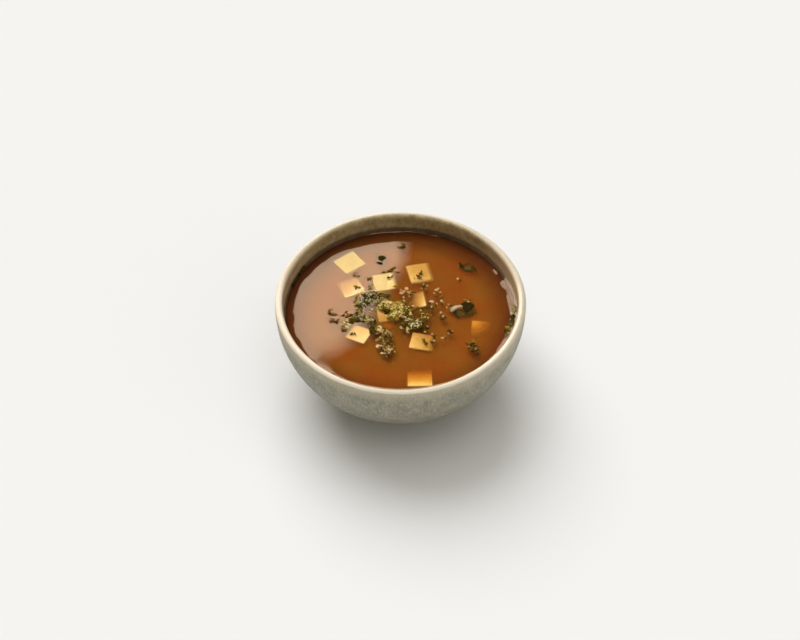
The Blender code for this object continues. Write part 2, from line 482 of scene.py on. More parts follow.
def speckledStonewareGlaze():
    # stoneware, reduction-fired under a celadon-grey matt glaze: a quiet grey-green ground with
    # frosty vertical runs, iron specks, an olive-tan inside, and a cream lip where the glaze ran thin;
    # the outside is darker towards the foot and the inside paler to the left and right by painted
    # shade and painted light, and the cream band on the lip is placed as a painted highlight
    material, tree = newMaterial("speckledStonewareGlaze")
    place = addNode(tree, "ShaderNodeTexCoord").outputs["Object"]
    axes = addNode(tree, "ShaderNodeSeparateXYZ", links={0: place})
    height = axes.outputs["Z"]
    radius = radiusFromAxis(tree, place)
    mottle = noiseOf(tree, place, 5 * mm, 4.0, 0.62)
    outside = addRamp(tree, mottle, [(0.34, linearFromHex("8a8878")),
                                     (0.50, linearFromHex("9b9785")),
                                     (0.66, linearFromHex("aaa28e"))])
    # painted shade: darker towards the foot, where less light comes up from the floor under the bowl
    footShade = smoothRange(tree, height, 50 * mm, 16 * mm)
    outside = mixColors(tree, doMath(tree, "MULTIPLY", footShade, 0.5), outside,
                        linearFromHex("4c4a40"))
    inside = addRamp(tree, mottle, [(0.34, linearFromHex("a39060")), (0.50, linearFromHex("b8a474")),
                                    (0.66, linearFromHex("c9b484"))])
    inner = doMath(tree, "MULTIPLY", smoothRange(tree, radius, 60.3 * mm, 59.3 * mm),
                   smoothRange(tree, height, 42 * mm, 47 * mm))
    ground = mixColors(tree, inner, outside, inside)
    # frosty runs, 0.9 mm across and three times as tall
    runs = noiseOf(tree, place, 0.9 * mm, 3.0, 0.6, (1.0, 1.0, 0.34))
    frost = smoothRange(tree, runs, 0.52, 0.70, 0.0, 0.42)
    ground = mixColors(tree, frost, ground, linearFromHex("c8c4b0"))
    shade = smoothRange(tree, runs, 0.46, 0.30, 0.0, 0.42)
    ground = mixColors(tree, shade, ground, linearFromHex("66634f"))
    # grain of the body, 0.4 mm
    grain = noiseOf(tree, place, 0.4 * mm, 2.0)
    ground = mixColors(tree, 0.8, ground, addRamp(tree, grain, [(0.3, 0.78), (0.5, 1.0),
                                                               (0.7, 1.18)]), "MULTIPLY")
    iron = doMath(tree, "MULTIPLY", specksOf(tree, place, 1.6 * mm, 0.30 * mm, 0.35), 0.6)
    ground = mixColors(tree, iron, ground, linearFromHex("4e3c22"))
    rust = doMath(tree, "MULTIPLY", specksOf(tree, place, 2.3 * mm, 0.5 * mm, 0.3),
                  doMath(tree, "MULTIPLY", inner, 0.5))
    ground = mixColors(tree, rust, ground, linearFromHex("a0703c"))
    # a brown band just above the broth, made uneven
    uneven = noiseOf(tree, place, 3 * mm, 3.0)
    shifted = doMath(tree, "MULTIPLY_ADD", uneven, 1.0 * mm, height)
    brownBand = doMath(tree, "MULTIPLY", inner, smoothRange(
        tree, shifted, brothLevel + 3.8 * mm, brothLevel + 1.4 * mm, 0.0, 0.7))
    ground = mixColors(tree, brownBand, ground, linearFromHex("5e3c18"))
    # the glaze thins towards the lip and pales
    pale = doMath(tree, "MULTIPLY", smoothRange(tree, radius, 59.6 * mm, 60.6 * mm), smoothRange(
        tree, shifted, rimHeight - 8.0 * mm, rimHeight - 1.0 * mm, 0.0, 0.55))
    ground = mixColors(tree, pale, ground, linearFromHex("d2c6a8"))
    # on the near side the lip's inner half is darkened brown: partly a broth stain, partly painted
    # shade
    near = doMath(tree, "MULTIPLY", inner, smoothRange(tree, axes.outputs["Y"], -30 * mm, -52 * mm,
                                                       0.0, 0.75))
    ground = mixColors(tree, near, ground, linearFromHex("7c5628"))
    # painted light: the inside is paler to the left and right, where the side walls catch more of the
    # light
    across = doMath(tree, "MULTIPLY", axes.outputs["X"], 1 / rimRadius)
    sides = smoothRange(tree, doMath(tree, "MULTIPLY", across, across), 0.25, 0.9, 0.0, 0.5)
    sides = doMath(tree, "MULTIPLY", sides, inner)
    sides = doMath(tree, "MULTIPLY", sides, smoothRange(
        tree, shifted, brothLevel + 0.6 * mm, brothLevel + 2.4 * mm))
    ground = mixColors(tree, sides, ground, linearFromHex("d8bc94"))
    # the cream band on the crest, placed as a painted highlight where the lip faces the light: further
    # in on the right, further out at the back
    bandEdge = doMath(tree, "MULTIPLY_ADD", across, -2.35, -0.25)
    bandEdge = doMath(tree, "MULTIPLY_ADD", across, bandEdge, 60.5)
    bandEdge = doMath(tree, "MULTIPLY_ADD", axes.outputs["Y"], 0.4 / rimRadius, bandEdge)
    beyond = doMath(tree, "SUBTRACT", doMath(tree, "MULTIPLY", radius, 1 / mm), bandEdge)
    beyond = doMath(tree, "MULTIPLY_ADD", uneven, 0.5, beyond)
    band = smoothRange(tree, beyond, 0.0, 0.5)
    # part of the painted highlight: the lip's outer half stays greyer, more so to the right
    outer = doMath(tree, "MULTIPLY", smoothRange(tree, across, -0.6, 0.9, 0.35, 0.7),
                   smoothRange(tree, beyond, 1.7, 2.8))
    crest = smoothRange(tree, shifted, rimHeight - 1.0 * mm, rimHeight - 0.2 * mm)
    cream = doMath(tree, "MULTIPLY", doMath(tree, "MULTIPLY", crest, band),
                   doMath(tree, "SUBTRACT", 1.0, outer))
    # over the far half the band is wider and weaker: painted shade on the far lip's inner slope, which
    # faces away from the light
    weak = doMath(tree, "MULTIPLY", smoothRange(tree, beyond, -1.8, 0.2, 0.0, 0.45),
                  smoothRange(tree, shifted, rimHeight - 2.5 * mm, rimHeight - 0.6 * mm))
    farHalf = smoothRange(tree, axes.outputs["Y"], 0.0, 18 * mm)
    cream = doMath(tree, "MULTIPLY_ADD", farHalf, doMath(tree, "SUBTRACT", weak, cream), cream)
    ground = mixColors(tree, cream, ground, linearFromHex("efe2cb"))
    relief = doMath(tree, "MULTIPLY_ADD", grain, 0.5, runs)
    bump = addNode(tree, "ShaderNodeBump", {"Strength": 0.4, "Distance": 0.12 * mm},
                   {"Height": relief})
    rough = smoothRange(tree, mottle, 0.3, 0.7, 0.52, 0.66)
    shader = addNode(tree, "ShaderNodeBsdfPrincipled", {"IOR": 1.45}, {
        "Base Color": ground, "Roughness": rough, "Normal": bump.outputs[0]})
    addNode(tree, "ShaderNodeOutputMaterial", links={"Surface": shader.outputs[0]})
    return material


glaze = speckledStonewareGlaze()
bowl = lathe("glazedBowl", bowlOutline(), bowlForm["steps"], glaze)
moveVerts(bowl, thrownByHand)
finishPiece(bowl, ["bowl"])
print("stage: bowl")


# ---- the broth ----

brothForm = {
    "steps": 360, "rings": 92,
    "intoWall": 0.5 * mm,         # the broth reaches this far into the bowl's wall
    "climb": 1.6 * mm, "reach": 1.55 * mm, "uneven": 0.22,
    "murk": 3.2 * mm, "murkAtWall": 0.8 * mm,      # depth at which the cloudy part starts
    "ripple": 0.012 * mm,
}


def brothHeight(x, y):
    away = max(brothEdge + 0.3 * mm - math.hypot(x, y), 0.0)
    around = math.atan2(y, x)
    out = Vector((math.cos(around), math.sin(around), 0.0))
    uneven = 1 + brothForm["uneven"] * (noise.noise(out * 3.1 + Vector((3, 5, 2)))
                                        + 0.8 * noise.noise(out * 8.0 + Vector((1, 9, 4))))
    climb = brothForm["climb"] * uneven * math.exp(-away / (brothForm["reach"] * uneven))
    ripple = noise.noise(Vector((x, y, 0)) / (14 * mm)) * brothForm["ripple"]
    return brothLevel + climb + ripple


def brothOutline(level, inset, rings):
    def face(angle):
        return innerWall(angle, -inset)
    topAngle = angleAtHeight(level + 1.4 * mm, face)
    side = [tuple(face(a)) for a in between(math.pi / 2, topAngle, 26)]
    side[0] = (0, side[0][1])
    edge = side[-1][0]
    # rings close together near the wall, where the broth climbs
    top = [(edge * (1 - (i / rings) ** 1.25), level) for i in range(1, rings)]
    return side + top + [(0, level)]


def clearBroth():
    # dashi: a clear amber film over the cloudy miso, wet and mirror-smooth
    material, tree = newMaterial("clearDashi")
    path = addNode(tree, "ShaderNodeLightPath")
    water = addNode(tree, "ShaderNodeBsdfPrincipled", {
        "Base Color": linearFromHex("ffffff"), "Roughness": 0.0, "IOR": 1.333,
        "Transmission Weight": 1.0})
    through = addNode(tree, "ShaderNodeBsdfTransparent", {"Color": linearFromHex("ffffff")})
    mix = addNode(tree, "ShaderNodeMixShader", links={
        0: path.outputs["Is Shadow Ray"], 1: water.outputs[0], 2: through.outputs[0]})
    absorb = addNode(tree, "ShaderNodeVolumeAbsorption", {
        "Color": linearFromHex("e8a860"), "Density": 60.0})
    addNode(tree, "ShaderNodeOutputMaterial", links={"Surface": mix.outputs[0],
            "Volume": absorb.outputs[0]})
    return material


def cloudyMiso():
    # fermented soybean paste in suspension: opaque amber, slightly uneven clouds
    material, tree = newMaterial("cloudyMiso")
    place = addNode(tree, "ShaderNodeTexCoord").outputs["Object"]
    cloud = addNode(tree, "ShaderNodeTexNoise", {"Scale": 1 / (22 * mm), "Detail": 3.0,
                    "Roughness": 0.5}, {"Vector": place}).outputs["Fac"]
    tone = addRamp(tree, cloud, [(0.35, linearFromHex("8d5017")), (0.65, linearFromHex("8b5b1b"))])
    # darker and redder towards the wall: partly the thinner broth there, partly painted shade from the
    # wall and its meniscus
    flat = addNode(tree, "ShaderNodeVectorMath", {"operation": "MULTIPLY", 1: (1.0, 1.0, 0.0)},
                   {0: place})
    radius = addNode(tree, "ShaderNodeVectorMath", {"operation": "LENGTH"},
                     {0: flat.outputs["Vector"]}).outputs["Value"]
    rim = addNode(tree, "ShaderNodeMapRange", {"interpolation_type": "SMOOTHSTEP",
                  "From Min": 40.0 * mm, "From Max": brothEdge}, {"Value": radius}).outputs[0]
    tone = addNode(tree, "ShaderNodeMix", {"data_type": "RGBA", "B": linearFromHex("5a2e11")},
                   {"Factor": rim, "A": tone}).outputs["Result"]
    # a darker olive round the herbs: partly chlorophyll seeping into the broth, partly painted shade
    # under the herbs
    toHerbs = addNode(tree, "ShaderNodeVectorMath", {"operation": "DISTANCE",
                      1: (2 * mm, -3 * mm, brothLevel - 3 * mm)}, {0: place}).outputs["Value"]
    herbTintAndShade = smoothRange(tree, toHerbs, 22 * mm, 6 * mm, 0.0, 0.5)
    tone = mixColors(tree, herbTintAndShade, tone, linearFromHex("6a5016"))
    grit = addRamp(tree, noiseOf(tree, place, 0.8 * mm, 3.0), [(0.3, 0.93), (0.7, 1.05)])
    tone = mixColors(tree, 1.0, tone, grit, "MULTIPLY")
    shader = addNode(tree, "ShaderNodeBsdfPrincipled", {"Roughness": 0.9,
                     "Specular IOR Level": 0.0}, {"Base Color": tone})
    addNode(tree, "ShaderNodeOutputMaterial", links={"Surface": shader.outputs[0]})
    return material


clearTop = lathe("clearBroth", brothOutline(brothLevel, brothForm["intoWall"],
                 brothForm["rings"]), brothForm["steps"], clearBroth())


def raiseSurface(point):
    if point.z > brothLevel - 0.05 * mm:
        return Vector((point.x, point.y, brothHeight(point.x, point.y)))
    return point


moveVerts(clearTop, raiseSurface)
finishPiece(clearTop, ["broth"])

murkTop = brothLevel - brothForm["murk"]
murk = lathe("cloudyBroth", brothOutline(murkTop, -0.2 * mm, 40), 144, cloudyMiso())


def raiseMurk(point):
    # the cloud stands higher at the wall
    if point.z < murkTop - 0.05 * mm:
        return point
    near = smoothStep(44 * mm, brothEdge, math.hypot(point.x, point.y))
    lift = (brothForm["murk"] - brothForm["murkAtWall"]) * near
    return Vector((point.x, point.y, murkTop + lift))


moveVerts(murk, raiseMurk)
finishPiece(murk)
print("stage: broth")


# ---- tofu ----

tofuCubes = {
    # name: middle of the top face (mm; the last is above the broth's level), size (mm), turn,
    # how far the far side and the left side dip (degrees), how far the top's left, right, near
    # and far edges fade into the cloudy broth (mm), the CAD node it stands for
    "tofuFarLeft": ((-26.2, 33.7, 0.22), (12.8, 11.8, 11.0), 37, 0, 0, (0.2, 0.2, 0.2, 0.2),
                    "tofu_far_left"),
    "tofuLeft": ((-25.4, 17.3, -0.74), (12.6, 13.6, 10.5), 24, 7, 2, (1.6, 1.4, 0.3, 3.0),
                 "tofu_left"),
    "tofuMidLeft": ((-7.8, 19.9, 0.05), (12.3, 12.0, 11.0), 13, -1, -2, (0.2, 2.8, 1.2, 0.2),
                    "tofu_mid_left"),
    "tofuFarRight": ((10.0, 26.3, -0.5), (13.0, 14.8, 11.0), 13, 1, -1, (0.9, 3.0, 3.6, 0.9),
                     "tofu_far_right"),
    "tofuMiddle": ((7.2, 8.3, -1.25), (11.0, 12.2, 10.0), 10, 4, 11, (8.0, 1.0, 0.8, 3.0),
                   "tofu_middle"),
    "tofuCentre": ((-6.4, -1.9, -0.5), (11.4, 11.2, 10.5), 8, -2, 2, (1.2, 1.2, 1.8, 1.2),
                   "tofu_centre"),
    "tofuNearLeft": ((-20.8, -14.9, -0.35), (11.6, 10.8, 11.0), -27, 2, 4, (2.2, 0.2, 0.4, 1.4),
                     "tofu_near_left"),
    "tofuNearRight": ((10.9, -20.5, -0.62), (12.6, 11.5, 11.0), -11, 2, -3, (0.4, 3.6, 1.4, 0.8),
                      "tofu_near_right"),
}

sunkTofu = {
    # as above, all of it under the broth
    "tofuSunkCentre": ((-6.6, -8.6, -2.2), (10.0, 7.5, 8.0), 8, -1, 0, (4.6, 4.6, 3.6, 2.6)),
    "tofuSunkNear": ((9.2, -43.6, -0.9), (12.6, 13.0, 9.0), 1, 9, 0, (0.8, 0.8, 2.2, 6.5)),
    "tofuSunkRight": ((40.6, -12.4, -1.5), (12.2, 12.6, 9.0), -4, -4, -5, (1.0, 10.5, 11.0, 0.9)),
}


def depthBelowBroth(tree, place, uneven=0.0):
    # millimetres below the broth's level, made a little uneven
    height = addNode(tree, "ShaderNodeSeparateXYZ", links={0: place}).outputs["Z"]
    depth = addNode(tree, "ShaderNodeMath", {"operation": "MULTIPLY_ADD", 1: -1 / mm,
                    2: brothLevel / mm}, {0: height}).outputs[0]
    cloud = addNode(tree, "ShaderNodeTexNoise", {"Scale": 1 / (3 * mm), "Detail": 2.0},
                    {"Vector": place}).outputs["Fac"]
    shift = addNode(tree, "ShaderNodeMath", {"operation": "MULTIPLY_ADD", 1: uneven,
                    2: -uneven / 2}, {0: cloud}).outputs[0]
    return addNode(tree, "ShaderNodeMath", {"operation": "ADD"},
                   {0: depth, 1: shift}).outputs[0]


def fadeOut(tree, shader):
    # what hangs in the cloudy broth has no sharp edge: its own "soft" attribute thins it out
    share = addNode(tree, "ShaderNodeAttribute", {"attribute_name": "soft"}).outputs["Fac"]
    clear = addNode(tree, "ShaderNodeBsdfTransparent")
    return addNode(tree, "ShaderNodeMixShader", links={
        0: share, 1: clear.outputs[0], 2: shader}).outputs[0]


def silkenTofu(name, sunk):
    # silken tofu: set soy curd, smooth and moist, cut with a wet blade: cream above the broth,
    # golden through a film of it, orange and then lost in the cloud further down
    material, tree = newMaterial(name)
    place = addNode(tree, "ShaderNodeTexCoord").outputs["Object"]
    depth = depthBelowBroth(tree, place, 0.25)
    share = addNode(tree, "ShaderNodeMapRange", {"From Min": -0.2, "From Max": 3.8},
                    {"Value": depth}).outputs[0]
    colors = ("f6d48c", "f3cf80", "deb25a", "c4923a", "b07a28", "9a6018", "875018")
    if sunk:
        colors = ("f6d08a", "f3cd80", "e4b557", "d19a38", "c37d25", "a46019", "8a5018")
    stained = addRamp(tree, share, [(stop, linearFromHex(color)) for stop, color in zip(
        (0.00, 0.05, 0.12, 0.20, 0.30, 0.50, 0.80), colors)])
    soft = noiseOf(tree, place, 4 * mm, 4.0, 0.6)
    curd = mixColors(tree, 1.0, stained, addRamp(tree, soft, [(0.3, 0.92), (0.7, 1.0)]),
                     "MULTIPLY")
    bump = addNode(tree, "ShaderNodeBump", {"Strength": 0.2, "Distance": 0.1 * mm},
                   {"Height": noiseOf(tree, place, 0.5 * mm, 3.0)})
    settings = {"Roughness": 0.45, "IOR": 1.36, "Specular IOR Level": 0.0 if sunk else 0.2}
    if not sunk:
        # the curd lets light wander a little, so cut edges glow
        settings.update({"Subsurface Weight": 0.35, "Subsurface Scale": 1.6 * mm,
                         "Subsurface Radius": (1.0, 0.7, 0.3)})
    shader = addNode(tree, "ShaderNodeBsdfPrincipled", settings,
                     {"Base Color": curd, "Normal": bump.outputs[0]}).outputs[0]
    addNode(tree, "ShaderNodeOutputMaterial", links={"Surface": fadeOut(tree, shader)})
    return material


tofuCut = {"edge": 0.35 * mm, "grain": 0.35 * mm, "sag": 0.16 * mm, "pit": 0.05 * mm}


def edgeShare(point, size, fades):
    # 1 in the middle of a top face, 0 at its edges and down the sides
    half = size / 2
    left, right, near, far = [f * mm for f in fades]
    share = smoothStep(0, left, point.x + half.x) * smoothStep(0, right, half.x - point.x)
    share *= smoothStep(0, near, point.y + half.y) * smoothStep(0, far, half.y - point.y)
    return share * smoothStep(half.z - 0.8 * mm, half.z - 0.3 * mm, point.z)


def makeTofu(name, top, size, turn, farDip, leftDip, fades, material, seed):
    size = Vector(size) * mm
    deselectAll()
    bpy.ops.mesh.primitive_cube_add(size=1.0, location=(0, 0, 0), scale=size)
    piece = nameNew(name, material)
    bpy.ops.object.transform_apply(location=False, rotation=False, scale=True)
    bpy.ops.object.mode_set(mode="EDIT")
    bpy.ops.mesh.select_all(action="SELECT")
    bpy.ops.mesh.bevel(offset=tofuCut["edge"], segments=3, affect="EDGES")
    bpy.ops.object.mode_set(mode="OBJECT")
    remesh = piece.modifiers.new("evenFaces", "REMESH")
    remesh.mode = "VOXEL"
    remesh.voxel_size = tofuCut["grain"]
    bpy.ops.object.modifier_apply(modifier=remesh.name)
    shift = Vector((seed * 3.7, seed * 1.3, seed * 2.9))

    def softCut(point):
        out = point.normalized()
        sag = noise.noise(point / (6 * mm) + shift) * tofuCut["sag"]
        pit = noise.noise(point / (1.4 * mm) + shift) * tofuCut["pit"]
        return point + out * (sag + pit)

    moveVerts(piece, softCut)
    soft = piece.data.attributes.new("soft", "FLOAT", "POINT")
    for vert in piece.data.vertices:
        soft.data[vert.index].value = edgeShare(vert.co, size, fades)
    bpy.ops.object.shade_smooth()
    piece.rotation_euler = (math.radians(-farDip), math.radians(-leftDip), math.radians(turn))
    bpy.context.view_layer.update()
    top = Vector(top) * mm + Vector((0, 0, brothLevel))
    piece.location = top + piece.matrix_world.to_3x3() @ Vector((0, 0, -size.z / 2))
    settle(piece)
    return piece


curd = silkenTofu("silkenTofu", False)
for seed, (name, (*facts, node)) in enumerate(tofuCubes.items()):
    finishPiece(makeTofu(name, *facts, curd, seed + 1), [node], castsShadow=False,
                mirrored=False)
sunkCurd = silkenTofu("silkenTofuInTheCloud", True)
for seed, (name, facts) in enumerate(sunkTofu.items()):
    finishPiece(makeTofu(name, *facts, sunkCurd, seed + 21), castsShadow=False)
print("stage: tofu")


# ---- seaweed ----

seaweedLeaves = {
    # name: middle (mm, the last above the broth), half length and half width (mm), turn,
    # rise along the length and across (mm from middle to end), dome (mm), curl of the rim (mm),
    # bend along the length (degrees)
    "wakameFloating": ((33.4, 3.0, 0.10), (3.0, 2.9), 10, 0.0, 0.2, 0.1, 0.25, 0),
    "wakameFold": ((27.4, 1.7, 0.30), (3.5, 1.45), 27, 0.1, 0.35, 0.8, -0.25, -8),
    "wakameCurl": ((-9.8, 36.6, 0.45), (1.7, 1.9), 168, 0.0, 0.0, 0.2, 0.2, 60),
    "wakameFarBit": ((0.9, 44.8, 0.2), (1.7, 0.7), 20, 0.1, 0.1, 0.2, 0.3, 40),
}

sunkLeaves = {
    # as above, then how solid the middle looks
    "wakameSkirt": ((30.4, -1.4, -0.7), (5.2, 3.0), -8, -0.3, 0.6, 0.1, -0.2, 0, 0.75),
    "wakameWedge": ((27.4, -2.0, -0.35), (3.9, 1.0), -62, -0.3, 0.2, 0.1, -0.1, 0, 0.9),
    "wakameUnder": ((34.4, 1.0, -0.6), (3.6, 5.0), 10, -0.3, 0.3, 0.1, -0.2, 0, 0.7),
    "wakameSunkFar": ((34.2, 30.6, -0.7), (4.8, 3.6), -14, 0.0, 0.0, 0.1, 0.1, 0, 0.75),
    "wakameSunkFold": ((31.2, 31.8, -0.3), (3.0, 1.3), -64, -0.1, 0.0, 0.3, 0.1, 0, 1.0),
    "wakameSunkRim": ((34.6, 28.2, -0.35), (3.6, 0.8), -8, 0.0, 0.0, 0.2, 0.1, 0, 0.9),
    "wakameSunkTip": ((37.9, 29.4, -0.3), (2.9, 0.9), -66, 0.0, 0.0, 0.3, 0.1, 0, 1.0),
    "wakameVeil": ((-10.2, 37.0, -0.9), (4.6, 6.4), 10, 0.0, 0.0, 0.1, 0.1, 0, 0.5),
    "wakameShred": ((-10.6, 33.4, 0.25), (2.2, 0.6), -16, 0.0, 0.0, 0.2, 0.1, -20, 1.0),
    "wakameDot": ((-12.7, 40.4, -0.1), (1.1, 1.1), 0, 0.0, 0.0, 0.1, 0.1, 0, 0.8),
}


def brinedWakame(name, sunk, foldColor):
    # wakame, rehydrated: a wet dark green-black blade with a paler fold, browner and fainter
    # the deeper it hangs in the broth; on the floating blade the fold's pale colour is partly its
    # midrib and partly a painted highlight where the wet fold faces the window
    material, tree = newMaterial(name)
    place = addNode(tree, "ShaderNodeTexCoord").outputs["Object"]
    depth = depthBelowBroth(tree, place, 0.5)
    pale = addNode(tree, "ShaderNodeAttribute", {"attribute_name": "pale"}).outputs["Fac"]
    mottle = noiseOf(tree, place, 1.2 * mm, 3.0)
    blade = addRamp(tree, mottle, [(0.35, linearFromHex("231b04")), (0.65, linearFromHex("3b3008"))])
    paleMixed = mixColors(tree, pale, blade, linearFromHex(foldColor))
    veil = smoothRange(tree, depth, 0.0, 3.2)
    veiled = mixColors(tree, veil, paleMixed, linearFromHex("7a5a1e"))
    bump = addNode(tree, "ShaderNodeBump", {"Strength": 0.4, "Distance": 0.1 * mm},
                   {"Height": mottle})
    shader = addNode(tree, "ShaderNodeBsdfPrincipled", {"Roughness": 0.35, "IOR": 1.4,
                     "Specular IOR Level": 0.0 if sunk else 0.02},
                     {"Base Color": veiled, "Normal": bump.outputs[0]}).outputs[0]
    if sunk:
        shader = fadeOut(tree, shader)
    addNode(tree, "ShaderNodeOutputMaterial", links={"Surface": shader})
    return material


def makeLeaf(name, middle, half, turn, riseLong, riseAcross, dome, curl, bend, material, seed,
             thickness, paleShare, softShare):
    # paleShare and softShare give a vertex its share of the pale fold color (on the floating fold
    # partly a painted highlight) and its solidity from its place across the blade and its distance
    # from the middle, both up to 1
    cuts = 22 if half[0] > 3 else 14
    deselectAll()
    bpy.ops.mesh.primitive_grid_add(x_subdivisions=cuts, y_subdivisions=cuts, size=2.0)
    piece = nameNew(name, material)
    turned = Matrix.Rotation(math.radians(turn), 4, "Z")
    centre = Vector((middle[0] * mm, middle[1] * mm, brothLevel + middle[2] * mm))
    paleShares, softShares = [], []

    def lobed(point):
        # the square grid becomes a lobed oval, domed and bent, with a ruffled rim
        x = point.x * math.sqrt(1 - point.y ** 2 / 2)
        y = point.y * math.sqrt(1 - point.x ** 2 / 2)
        edge = math.hypot(x, y)
        around = math.atan2(y, x)
        lobe = 1 + (0.16 * math.sin(3 * around + seed)
                    + 0.08 * math.sin(7 * around + 2 * seed)) * edge
        rise = riseLong * x + riseAcross * y + dome * (1 - edge ** 2)
        ruffle = curl * edge ** 3 * (0.6 + 0.4 * math.sin(5 * around + 1.7 * seed))
        paleShares.append(paleShare(y, edge))
        softShares.append(softShare(y, edge))
        along, across = x * half[0] * lobe, y * half[1] * lobe
        if bend:
            radius = 2 * half[0] / math.radians(bend)
            angle = along / radius
            along = (radius - across) * math.sin(angle)
            across = radius - (radius - across) * math.cos(angle)
        return centre + turned @ Vector((along, across, rise + ruffle)) * mm

    moveVerts(piece, lobed)
    for attribute, shares in (("pale", paleShares), ("soft", softShares)):
        piece.data.attributes.new(attribute, "FLOAT", "POINT").data.foreach_set("value", shares)
    makeActive(piece)
    thicken = piece.modifiers.new("bladeThickness", "SOLIDIFY")
    thicken.thickness = thickness * mm
    thicken.offset = -1
    bpy.ops.object.modifier_apply(modifier=thicken.name)
    bpy.ops.object.shade_smooth()
    return piece


# the floating fold's pale stripe: partly the midrib, partly a painted highlight
def foldAndHighlightShare(y, edge):
    return smoothStep(0.0, 0.7, 1 - abs(y + 0.05)) * (1 - 0.3 * edge)


wakame = brinedWakame("brinedWakame", False, "d8c094")
for seed, (name, facts) in enumerate(seaweedLeaves.items()):
    pale = foldAndHighlightShare if name == "wakameFold" else lambda y, edge: 0.0
    leaf = makeLeaf(name, *facts, wakame, seed + 1, 0.3, pale, lambda y, edge: 1.0)
    finishPiece(leaf, ["wakame_leaf"] if name == "wakameFloating" else [],
                mirrored=False)
sunkWakame = brinedWakame("brinedWakameInTheCloud", True, "5e4c28")
for seed, (name, (*facts, solid)) in enumerate(sunkLeaves.items()):
    leaf = makeLeaf(name, *facts, sunkWakame, seed + 7, 0.12,
                    lambda y, edge: 0.8 * smoothStep(0.7, 0.1, edge) * (facts[1][1] > 2),
                    lambda y, edge: solid * smoothStep(1.0, 0.35, edge))
    finishPiece(leaf, castsShadow=False)
print("stage: seaweed")


# ---- chopped herbs ----

herbHeaps = {
    # name: middle (mm), half width and half depth (mm), sprigs, darkest and palest tone,
    # tint (0 grey-green, 0.5 yellow-green, 1 brown to beige), leaf size
    "crownLeft": (-17.8, 5.0, 3.0, 2.5, 14, 0.0, 0.95, 0.05, 0.9),
    "crownFarLeft": (-17.6, 9.6, 3.0, 2.0, 10, 0, 1, 0.0, 1.0),
    "crownFar": (-13.5, 10.5, 3.5, 2.0, 11, 0, 0.9, 0.05, 1.0),
    "crownRight": (-8.0, 10.0, 3.0, 1.5, 7, 0, 0.6, 0.3, 1.0),
    "crownMiddle": (-13.0, 6.0, 3.2, 2.4, 17, 0.0, 0.72, 0.1, 0.9),
    "leftRing": (-20.3, 2.4, 1.1, 3.0, 8, 0.0, 0.6, 0.2, 0.95),
    "leftRingNear": (-21.5, -1.2, 1.3, 2.0, 6, 0, 0.7, 0.3, 1.0),
    "outerLeft": (-21.8, 5.0, 1.0, 2.5, 3, 0.1, 0.95, 0.3, 1.0),
    "midFar": (-9.6, 3.6, 2.6, 3.0, 13, 0.2, 0.95, 0.45, 0.95),
    "mid": (-5.5, 2.5, 2.5, 3.5, 11, 0.48, 1.0, 0.52, 0.95),
    "midRight": (-1.5, 3.0, 2.5, 3.0, 9, 0.55, 1.0, 0.58, 1.0),
    "midNear": (-2.5, -3.0, 2.6, 2.6, 8, 0.52, 1.0, 0.52, 1.0),
    "midEdge": (0.5, -1.0, 1.2, 4.0, 5, 0.55, 1.0, 0.58, 1.0),
    "midFront": (-4.2, -4.8, 2.4, 1.2, 4, 0.3, 1.0, 0.5, 1.0),
    "midDark": (-7.5, -0.5, 1.5, 1.5, 4, 0, 0.3, 0.5, 1.1),
    "leftTip": (-25.6, -4.4, 2.0, 1.2, 4, 0, 0.7, 0.25, 1.0),
    "nearArm": (-20.0, -6.0, 3.8, 1.3, 12, 0.05, 0.65, 0.15, 1.05),
    "nearArmRight": (-16.0, -7.2, 2.5, 1.5, 9, 0.1, 0.9, 0.2, 1.05),
    "nearArmEnd": (-13.5, -10.0, 1.5, 2.5, 5, 0, 0.5, 0.2, 1.1),
    "openingRight": (-14.5, -3.0, 1.0, 2.5, 1, 0.1, 0.9, 0.5, 1.0),
    "onTofuFar": (-24.0, -7.0, 1.0, 2.5, 3, 0, 0.3, 0.4, 1.1),
    "onTofuLeft": (-27.0, -10.0, 2.0, 2.5, 5, 0.25, 1.0, 0.3, 1.0),
    "onTofuNear": (-27.5, -13.0, 1.2, 1.2, 2, 0.1, 0.5, 0.45, 1.0),
    "besideTofu": (-13.5, -14.0, 1.5, 2.5, 4, 0, 0.3, 0.6, 1.1),
    "tailFar": (-10.0, -13.0, 2.0, 2.0, 6, 0.2, 1, 0.75, 1.2),
    "tailFarRight": (-7.0, -16.0, 2.0, 2.0, 5, 0.2, 0.9, 0.8, 1.2),
    "tailMiddle": (-9.0, -20.0, 2.5, 2.5, 6, 0.2, 0.9, 0.8, 1.2),
    "tailRight": (-5.0, -19.0, 1.5, 3.5, 4, 0.2, 0.8, 0.85, 1.2),
    "tailNearMid": (-8.0, -24.0, 2.5, 2.0, 5, 0.3, 1, 0.85, 1.2),
    "tailNear": (-7.0, -27.0, 2.5, 2.0, 5, 0.3, 1, 0.9, 1.2),
    "right": (3.5, -1.0, 2.0, 3.0, 5, 0.12, 1.0, 0.3, 1.1),
    "rightMiddle": (3.5, -6.0, 2.5, 2.5, 6, 0.2, 1.0, 0.25, 1.1),
    "rightNear": (6.0, -9.0, 3.5, 2.5, 8, 0.2, 1.0, 0.2, 1.1),
    "rightEnd": (10.0, -8.5, 2.0, 2.0, 4, 0.1, 0.9, 0.2, 1.1),
    "rightLeft": (1.5, -10.0, 1.5, 1.5, 3, 0, 0.9, 0.35, 1.1),
    "rightEdge": (5.0, -12.5, 2.0, 1.0, 3, 0, 0.95, 0.25, 1.2),
    "farRight": (11.5, -4.0, 2.0, 2.0, 3, 0.1, 0.7, 0.6, 1.1),
    "alongTofu": (10.5, -12.0, 3.0, 0.5, 4, 0, 0.2, 0.3, 1.1),
    "strand": (-15.3, 16.5, 0.4, 3.0, 2, 0, 0.4, 0.5, 0.9),
    "strandTop": (-16.0, 22.0, 1.2, 0.8, 1, 0.1, 0.4, 0.9, 0.9),
}

